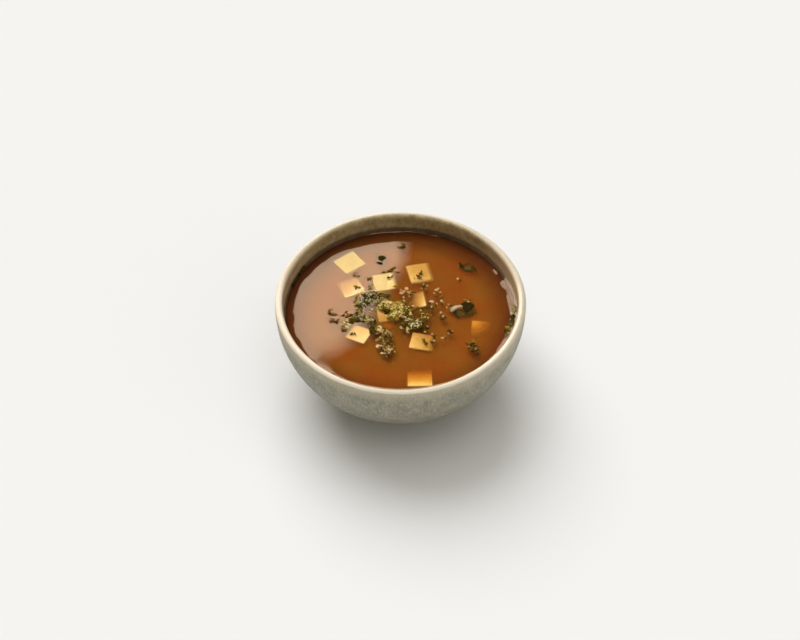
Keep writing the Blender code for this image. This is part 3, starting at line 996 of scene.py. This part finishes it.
herbSprigs = [
    # place (mm), size (mm), leaves, darkest and palest tone, tint
    (55.0, -6.8, 1.2, 5, 0.0, 0.2, 0.1), (55.3, -9.2, 0.9, 3, 0.0, 0.4, 0.2),
    (54.8, -11.2, 1.0, 4, 0.0, 0.3, 0.2), (53.0, -13.4, 1.2, 4, 0.1, 0.5, 0.4),
    (53.0, -15.0, 1.0, 3, 0.1, 0.4, 0.6), (52.2, -18.2, 0.8, 3, 0.0, 0.3, 0.3),
    (56.2, -2.0, 1.0, 3, 0.2, 0.6, 0.3), (56.6, 1.0, 0.9, 3, 0.2, 0.5, 0.3),
    (-36.0, -0.5, 0.7, 3, 0.1, 0.55, 1), (-34.5, 0.5, 0.6, 3, 0.1, 0.55, 1),
    (-35.0, -2.5, 1.0, 7, 0.1, 0.55, 1), (-33.0, -3.0, 1.0, 5, 0.1, 0.55, 1),
    (-33.5, -6.0, 0.6, 3, 0.1, 0.55, 1), (-34.5, -7.5, 1.1, 5, 0.1, 0.55, 1),
    (-32.5, -8.0, 0.9, 5, 0.1, 0.55, 1), (-31.5, -9.0, 0.9, 4, 0, 0.3, 1),
    (-31.0, -7.0, 0.7, 3, 0.1, 0.55, 1), (-27.0, -1.5, 0.6, 2, 0, 0.3, 1),
    (-28.5, -3.5, 0.8, 3, 0, 0.4, 1), (-28.5, -14.0, 0.9, 3, 0, 0.3, 0.8),
    (-24.0, -16.0, 0.8, 3, 0, 0.25, 0.5), (-22.5, -16.0, 0.7, 2, 0, 0.2, 0.5),
    (-22.5, 26.0, 0.5, 2, 0.1, 0.3, 1), (-23.5, 24.0, 0.7, 3, 0.1, 0.4, 1),
    (-21.5, 23.5, 0.7, 2, 0.1, 0.4, 1), (-22.5, 16.0, 0.8, 4, 0, 0.3, 0.6),
    (-21.0, 15.5, 0.7, 3, 0, 0.3, 0.5), (-22.0, 9.0, 0.7, 3, 0, 0.5, 0.6),
    (-16.5, 21.5, 0.5, 2, 0.1, 0.4, 0.9), (-6.0, 22.5, 0.7, 3, 0, 0.4, 0.5),
    (-4.5, 23.5, 0.6, 2, 0, 0.3, 0.5), (-2.5, 16.5, 0.7, 3, 0.1, 0.5, 0.6),
    (-8.5, 27.0, 0.8, 3, 0.1, 0.4, 0.6), (-6.5, 27.0, 0.7, 3, 0, 0.4, 0.5),
    (-5.0, 27.0, 0.9, 4, 0, 0.3, 0.5), (-4.0, 28.5, 0.6, 2, 0, 0.3, 0.5),
    (-3.0, 30.0, 0.6, 3, 0.1, 0.3, 1), (-1.5, 26.0, 0.7, 2, 0.1, 0.4, 1),
    (0.5, 44.0, 0.8, 3, 0, 0.3, 0.8), (2.0, 45.0, 0.7, 2, 0, 0.3, 0.8),
    (-1.5, 45.0, 0.6, 2, 0.2, 0.4, 1), (1.5, 46.5, 0.5, 2, 0.1, 0.3, 0.8),
    (10.5, 26.0, 0.8, 3, 0, 0.3, 0.5), (9.0, 23.5, 0.8, 4, 0, 0.3, 0.5),
    (10.0, 23.0, 0.6, 2, 0.1, 0.4, 0.5), (7.0, 22.0, 0.4, 1, 0.1, 0.3, 0.8),
    (4.5, 12.0, 1.1, 4, 0.2, 0.8, 0.8), (6.0, 12.0, 0.7, 3, 0.1, 0.5, 0.8),
    (4.0, 10.0, 0.7, 3, 0.1, 0.6, 0.8), (1.0, 6.0, 0.7, 3, 0.2, 0.7, 0.7),
    (3.0, 5.0, 0.8, 3, 0.1, 0.5, 0.8), (2.0, 1.5, 0.8, 3, 0, 0.5, 0.6),
    (5.0, 2.0, 0.7, 3, 0.1, 0.4, 0.8), (8.0, 1.0, 0.8, 3, 0, 0.3, 0.6),
    (10.5, 1.5, 0.9, 3, 0, 0.3, 0.6), (13.0, 2.0, 0.7, 3, 0, 0.3, 0.6),
    (12.0, 16.0, 1.0, 4, 0.1, 0.5, 0.8), (14.0, 4.5, 0.7, 3, 0, 0.3, 0.7),
    (16.0, 1.0, 0.8, 3, 0, 0.3, 0.7), (17.5, 3.0, 0.7, 3, 0, 0.3, 0.7),
    (14.5, 2.5, 0.6, 2, 0, 0.3, 0.7), (18.5, 9.5, 0.8, 3, 0.25, 0.4, 1),
    (20.5, 9.0, 0.7, 2, 0.25, 0.4, 1), (17.5, 12.5, 0.7, 2, 0.1, 0.4, 1),
    (20.5, 5.0, 0.6, 2, 0.1, 0.4, 0.9), (20.0, -3.5, 0.7, 3, 0, 0.4, 0.8),
    (22.0, -5.0, 0.7, 3, 0, 0.3, 0.8), (20.5, -6.0, 0.6, 2, 0, 0.3, 0.8),
    (25.5, 3.0, 0.6, 2, 0, 0.3, 0.8), (13.5, -6.5, 0.9, 3, 0.1, 0.4, 0.7),
    (15.5, -4.0, 0.7, 2, 0.1, 0.4, 0.7), (24.0, -14.0, 0.6, 3, 0, 0.3, 0.8),
    (25.0, -15.5, 0.6, 2, 0, 0.4, 0.9), (22.0, -19.0, 0.6, 2, 0.1, 0.4, 1),
    (15.0, -21.0, 0.8, 3, 0, 0.3, 0.5), (16.5, -18.0, 0.8, 3, 0, 0.3, 0.6),
    (11.5, -20.5, 0.8, 4, 0, 0.3, 0.5), (12.5, -22.0, 0.7, 3, 0, 0.2, 0.5),
    (17.5, -22.0, 0.6, 2, 0.1, 0.4, 0.8), (30.0, 20.0, 0.5, 2, 0.1, 0.3, 0.9),
    (34.5, -23.0, 1.0, 4, 0, 0.4, 0.9), (36.0, -24.5, 1.1, 5, 0, 0.4, 0.9),
    (34.0, -25.0, 0.9, 4, 0, 0.4, 0.9), (37.0, -27.0, 0.9, 4, 0, 0.4, 0.9),
    (35.0, -27.0, 0.8, 3, 0, 0.4, 0.8), (33.0, -23.0, 0.5, 2, 0, 0.3, 0.8),
    (33.0, -27.5, 0.5, 2, 0.1, 0.4, 0.8), (38.5, -24.0, 0.5, 2, 0.1, 0.4, 0.8),
    (37.5, -29.0, 0.8, 3, 0, 0.2, 0.9), (36.0, -21.0, 0.7, 3, 0.1, 0.5, 0.6),
    (-7.0, -30.5, 0.8, 3, 0.1, 0.5, 0.8), (-3.5, -25.0, 0.8, 3, 0.1, 0.5, 0.7),
    (-9.5, -25.5, 0.8, 3, 0, 0.3, 0.7), (32.0, 7.0, 0.5, 2, 0.1, 0.6, 0.5),
    (35.0, 7.0, 0.5, 2, 0, 0.3, 0.7),
    (55.2, -7.4, 1.1, 8, 0, 0.2, 0.15), (55.0, -9.4, 1.0, 7, 0, 0.2, 0.15),
    (55.8, -5.4, 0.9, 5, 0, 0.4, 0.15), (56.3, -1.2, 1.0, 5, 0.2, 0.7, 0.1),
    (54.0, -11.4, 0.9, 5, 0, 0.4, 0.3), (52.8, -13.2, 1.0, 5, 0.1, 0.6, 0.5),
    (50.9, -14.8, 0.8, 4, 0, 0.4, 0.7), (52.2, -16.9, 0.7, 3, 0, 0.3, 0.7),
]

# painted highlights: pale blobs where the broth's menisci and small bubbles round the herbs mirror the
# window
glintBits = [
    # place (mm), half length and half width (mm), turn, tone
    (55.2, -5.2, 0.9, 0.9, 0, 0.9), (55.4, -2.4, 0.8, 1.0, 0, 1.0), (56.0, 1.0, 0.9, 0.7, 0, 0.9),
    (3.0, 15.0, 1.1, 1.3, 0, 0.95), (1.8, 13.2, 0.8, 0.7, 0, 0.9),
    (4.2, 11.0, 0.7, 0.7, 20, 0.85), (0.2, 14.0, 0.7, 0.7, 0, 0.8), (0.5, 12.0, 1.3, 1.0, 0, 0.9), (1.5, 9.0, 0.7, 1.0, 0, 0.85),
    (6.0, 3.0, 1.1, 0.8, 15, 0.9), (1.5, 6.5, 0.6, 1.1, 0, 0.85), (5.0, 13.0, 0.9, 0.6, 30, 0.8),
    (6.5, 11.5, 0.6, 0.6, 0, 0.8), (4.5, 9.5, 0.5, 0.6, 0, 0.8), (11.5, 18.0, 0.8, 0.8, 0, 0.75),
    (13.5, 17.0, 0.7, 0.8, 0, 0.75), (10.5, 15.0, 0.6, 0.6, 0, 0.75),
    (13.0, 15.0, 0.6, 0.6, 0, 0.7), (18.0, 14.0, 1.1, 1.0, 10, 0.9),
    (17.0, 12.0, 0.8, 0.8, 25, 0.85), (19.0, 15.0, 0.6, 0.8, 0, 0.9),
    (20.0, 12.5, 0.7, 0.7, -15, 0.8), (15.5, 6.0, 1.4, 0.9, 0, 1), (18.0, 4.5, 0.7, 0.7, 0, 0.9),
    (15.5, 2.5, 0.7, 0.8, 0, 0.9), (10.0, 0.0, 0.7, 0.6, 0, 0.95), (2.0, -1.5, 1.0, 0.9, 15, 0.95),
    (5.0, -1.5, 0.6, 0.8, 30, 0.95), (13.5, -2.5, 0.8, 0.6, 15, 0.9),
    (12.0, -4.5, 0.9, 0.8, 20, 0.85), (13.5, -5.0, 0.5, 0.6, 0, 0.9),
    (13.0, -11.0, 0.8, 0.7, 0, 0.85), (0.5, -11.5, 1.2, 1.1, 0, 0.95),
    (3.5, -14.5, 1.0, 0.8, -10, 0.85), (12.0, -14.5, 0.7, 0.7, 0, 0.8),
    (20.5, 6.5, 0.8, 0.8, -10, 0.95), (21.5, 5.5, 0.6, 0.6, -10, 0.75),
    (24.0, 4.0, 0.7, 0.6, 15, 0.8), (23.0, 2.0, 0.6, 0.7, 0, 0.8),
    (20.0, -1.5, 0.8, 0.8, 35, 0.85), (19.0, -3.5, 0.5, 0.6, 0, 0.6),
    (21.0, -4.0, 0.7, 0.7, 0, 0.95), (23.0, -13.0, 0.6, 0.6, 0, 0.65),
    (23.5, -15.5, 0.5, 0.6, 0, 0.9), (25.5, -14.0, 0.4, 0.9, 0, 0.75),
    (20.5, -18.5, 1.0, 0.8, 10, 0.85), (22.0, -17.5, 0.6, 0.6, 25, 0.7),
    (16.5, -20.5, 0.8, 0.6, -5, 0.95), (15.5, -16.0, 0.5, 1.0, 0, 0.85),
    (29.0, 22.0, 0.7, 0.8, 0, 0.95), (34.5, -22.0, 0.7, 1.0, 40, 0.85),
    (33.5, -24.0, 1.0, 0.7, 30, 0.75), (36.0, -23.0, 0.4, 0.8, 0, 0.75),
    (36.5, -25.5, 0.7, 0.7, 0, 0.85), (37.5, -27.5, 0.6, 0.6, 0, 0.7),
    (35.0, -24.5, 0.5, 0.6, 20, 0.65), (-11.0, -24.0, 1.3, 1.5, 0, 1),
    (-8.0, -23.5, 1.1, 1.0, 0, 0.9), (-9.0, -28.5, 1.1, 0.8, 15, 0.95),
    (-6.0, -28.5, 0.8, 0.7, 0, 0.9), (-3.0, -27.5, 0.7, 0.6, -20, 0.85),
    (-4.5, -25.5, 0.9, 0.6, 15, 0.85), (-4.5, -22.0, 0.7, 0.6, 60, 0.75),
    (-8.5, -20.0, 0.6, 0.7, 40, 0.75), (-11.5, -15.5, 0.9, 0.7, 20, 0.8),
    (-9.0, -13.0, 0.8, 0.8, -20, 0.8), (-7.0, -15.0, 0.8, 0.6, 30, 0.8),
    (-2.5, 28.0, 0.7, 0.6, 0, 1), (-1.0, 28.0, 0.3, 0.5, 0, 0.9), (34.0, 6.0, 0.8, 0.7, 30, 0.85),
    (-23.0, 2.5, 0.6, 1.0, 20, 0.8), (-23.5, 5.0, 0.5, 0.8, 0, 0.75),
    (5.5, 16.0, 0.4, 0.5, 0, 0.6), (9.0, -9.5, 0.7, 0.8, 10, 0.8), (4.5, -9.0, 1.0, 0.9, 10, 0.8),
    (10.5, -8.0, 0.9, 0.6, 20, 0.75), (-0.5, 3.0, 0.6, 0.7, 0, 0.85),
    (1.0, -4.5, 0.8, 0.8, 0, 0.8),
]

wallSprigs = [
    # angle round the bowl, height above the broth (mm), size (mm), leaves, darkest and palest
    # tone, tint
    (149.5, 1.4, 1.3, 8, 0.0, 0.3, 0.4), (150.8, 0.6, 1.4, 9, 0.0, 0.25, 0.5),
    (152.6, 0.4, 1.3, 7, 0.0, 0.3, 0.4), (154.6, 0.4, 1.0, 5, 0.0, 0.3, 0.4),
    (157.5, 0.5, 1.1, 6, 0.0, 0.3, 0.4), (160.0, 0.4, 1.0, 5, 0.0, 0.3, 0.3),
    (162.6, 0.4, 1.1, 6, 0.0, 0.3, 0.3),
]

herbCut = {
    "leaf": (0.68, 0.32), "thickness": 0.10,     # half length and half width, mm
    "matLift": (0.15, 0.5), "topLift": (0.5, 1.0), "loneLift": 0.4, "wallLift": 0.35, "wallExtra": 0.9,
    "loneLeaf": 1.3, "wallLeaf": 1.3, "seed": 11,
}


def choppedHerb():
    # chopped leafy herbs, wet from the broth: each leaf has its own tone and tint, from
    # black-green through lime to beige; the palest tones stand partly for painted highlights on the
    # wet leaves, and the beige also colours the painted glints
    material, tree = newMaterial("choppedHerb")
    tone = addNode(tree, "ShaderNodeAttribute", {"attribute_name": "tone"}).outputs["Fac"]
    tint = addNode(tree, "ShaderNodeAttribute", {"attribute_name": "tint"}).outputs["Fac"]
    greyGreen, lime, beige = [addRamp(tree, tone, [
        (place, linearFromHex(color)) for place, color in zip((0.0, 0.3, 0.6, 0.8, 1.0), colors)])
        for colors in (("241d05", "4b441c", "7c7246", "b0a678", "dad0a6"),
                       ("402f02", "76600f", "b69a36", "e2c462", "fae494"),
                       ("30200a", "5e4018", "92703e", "cca470", "ecc898"))]
    color = mixColors(tree, smoothRange(tree, tint, 0.0, 0.5), greyGreen, lime)
    color = mixColors(tree, smoothRange(tree, tint, 0.5, 1.0), color, beige)
    shader = addNode(tree, "ShaderNodeBsdfPrincipled", {"Roughness": 0.4, "IOR": 1.4,
                     "Specular IOR Level": 0.02}, {"Base Color": color})
    addNode(tree, "ShaderNodeOutputMaterial", links={"Surface": shader.outputs[0]})
    return material


def takeShape(piece):
    # the mesh of a finished template, and the template removed
    shape = ([v.co.copy() for v in piece.data.vertices],
             [tuple(face.vertices) for face in piece.data.polygons])
    bpy.data.objects.remove(piece)
    return shape


def herbTemplate(name, length, width, cup, fold, point):
    # one cut leaf, its tip along +X: a fan of faces, cupped and folded at the rib
    deselectAll()
    bpy.ops.mesh.primitive_circle_add(vertices=10, radius=1.0, fill_type="TRIFAN")
    piece = nameNew(name)

    def leafShape(v):
        narrow = 1 - point * max(v.x, 0) ** 2
        return Vector((v.x * length, v.y * width * narrow,
                       cup * (v.x ** 2 + v.y ** 2) + fold * abs(v.y))) * mm

    moveVerts(piece, leafShape)
    thicken = piece.modifiers.new("skin", "SOLIDIFY")
    thicken.thickness = herbCut["thickness"] * mm
    bpy.ops.object.modifier_apply(modifier=thicken.name)
    return takeShape(piece)


def glintTemplate():
    # a pale blob for a painted glint, 1 mm in radius, rounded and a little dished
    deselectAll()
    bpy.ops.mesh.primitive_circle_add(vertices=12, radius=1.0, fill_type="TRIFAN")
    piece = nameNew("glintBlob")

    def dished(v):
        return Vector((v.x, v.y, 0.12 * math.hypot(v.x, v.y) ** 2)) * mm

    moveVerts(piece, dished)
    thicken = piece.modifiers.new("slice", "SOLIDIFY")
    thicken.thickness = 0.45 * mm
    bpy.ops.object.modifier_apply(modifier=thicken.name)
    rounded = piece.modifiers.new("rounded", "BEVEL")
    rounded.width = 0.16 * mm
    rounded.segments = 2
    bpy.ops.object.modifier_apply(modifier=rounded.name)
    return takeShape(piece)


def joinCopies(name, copies, material):
    # copies: (shape, matrix, tone, tint), joined into one mesh of true-size pieces
    verts, faces, tones, tints = [], [], [], []
    for (points, polygons), matrix, tone, tint in copies:
        start = len(verts)
        verts += [matrix @ p for p in points]
        faces += [tuple(start + i for i in polygon) for polygon in polygons]
        tones += [tone] * len(points)
        tints += [tint] * len(points)
    mesh = bpy.data.meshes.new(name)
    mesh.from_pydata(verts, [], faces)
    mesh.materials.append(material)
    for attribute, values in (("tone", tones), ("tint", tints)):
        mesh.attributes.new(attribute, "FLOAT", "POINT").data.foreach_set("value", values)
    piece = bpy.data.objects.new(name, mesh)
    bpy.context.scene.collection.objects.link(piece)
    makeActive(piece)
    bpy.ops.object.shade_smooth()
    return piece


leafLength, leafWidth = herbCut["leaf"]
leafKinds = [
    herbTemplate("leafCupped", leafLength, leafWidth, 0.22, 0.0, 0.5),
    herbTemplate("leafFolded", leafLength * 1.2, leafWidth * 0.9, 0.0, 0.25, 0.6),
    herbTemplate("leafDomed", leafLength * 0.9, leafWidth * 1.1, -0.22, 0.0, 0.3),
    herbTemplate("leafSliver", leafLength * 1.2, leafWidth * 0.5, 0.1, 0.1, 0.4),
]
glintBlob = glintTemplate()
rng = random.Random(herbCut["seed"])


def turnedTo(place, normal, heading, tilt):
    # lies on the surface with this normal, tilted a little at random
    matrix = Matrix.Translation(place) @ normal.to_track_quat("Z", "Y").to_matrix().to_4x4()
    matrix = matrix @ Matrix.Rotation(heading, 4, "Z")
    matrix = matrix @ Matrix.Rotation(math.radians(rng.uniform(-tilt, tilt)), 4, "X")
    return matrix @ Matrix.Rotation(math.radians(rng.uniform(-tilt, tilt * 0.4)), 4, "Y")


def onBroth(x, y, lift):
    return Vector((x * mm, y * mm, brothHeight(x * mm, y * mm) + lift * mm))


def sprigCopies(place, normal, size, count, dark, pale, tint, leafSize=1.0):
    # leaves set round a point, their tips outwards; most of them dark
    across = normal.to_track_quat("Z", "Y").to_matrix()
    first = rng.uniform(0, math.tau)
    copies = []
    for i in range(count):
        heading = first + i * math.tau / count + rng.uniform(-0.5, 0.5)
        reach = size * rng.uniform(0.35, 0.8)
        offset = Vector((reach * math.cos(heading), reach * math.sin(heading),
                         rng.uniform(0, 0.35))) * mm
        # a quarter of the leaves take the palest tone, partly a painted highlight
        tone = pale if rng.random() < 0.25 else dark + (pale - dark) * rng.random() ** 1.6
        matrix = turnedTo(place + across @ offset, normal, heading, 26)
        matrix = matrix @ Matrix.Scale(leafSize * rng.uniform(0.8, 1.3), 4)
        copies.append((rng.choice(leafKinds), matrix, tone, tint + rng.uniform(-0.15, 0.15)))
    return copies


up = Vector((0, 0, 1))
heapCopies = []
for x, y, halfWidth, halfDepth, count, dark, pale, tint, leafSize in herbHeaps.values():
    # a darker mat of leaves on the broth, with paler ones on top of it: the mat's darkness is painted
    # shade
    for lift, palest in ((herbCut["matLift"], dark + 0.3 * (pale - dark)), (herbCut["topLift"], pale)):
        for _ in range(count):
            around, out = rng.uniform(0, math.tau), math.sqrt(rng.random())
            place = onBroth(x + halfWidth * out * math.cos(around),
                            y + halfDepth * out * math.sin(around), rng.uniform(*lift))
            heapCopies += sprigCopies(place, up, rng.uniform(0.8, 1.3), rng.randint(3, 5),
                                      dark, palest, tint, leafSize)
loneCopies = []
for x, y, *facts in herbSprigs:
    lift = herbCut["loneLift"] + herbCut["wallExtra"] * smoothStep(50.0, 54.0, math.hypot(x, y))
    loneCopies += sprigCopies(onBroth(x, y, lift), up, *facts, herbCut["loneLeaf"])
for angle, height, *facts in wallSprigs:
    wall = innerWall(angleAtHeight(brothLevel + height * mm, innerWall),
                     herbCut["wallLift"] * mm)
    out = Vector((math.cos(math.radians(angle)), math.sin(math.radians(angle)), 0))
    place = out * wall.x + Vector((0, 0, wall.y))
    loneCopies += sprigCopies(place, -out, *facts, herbCut["wallLeaf"])
# the painted glints, as pale blobs on the broth
glintCopies = []
for x, y, halfLength, halfWidth, turn, tone in glintBits:
    matrix = turnedTo(onBroth(x, y, 0.45), up, math.radians(turn), 14)
    size = Matrix.Diagonal((halfLength * 0.88, halfWidth * 0.8, 1.0, 1.0))
    glintCopies.append((glintBlob, matrix @ size, tone - 0.1, rng.uniform(0.8, 1.0)))
herb = choppedHerb()
finishPiece(joinCopies("choppedHerbs", heapCopies, herb), mirrored=False)
finishPiece(joinCopies("herbSprigs", loneCopies, herb), mirrored=False)
finishPiece(joinCopies("paintedGlints", glintCopies, herb), mirrored=False)
print("stage: herbs")
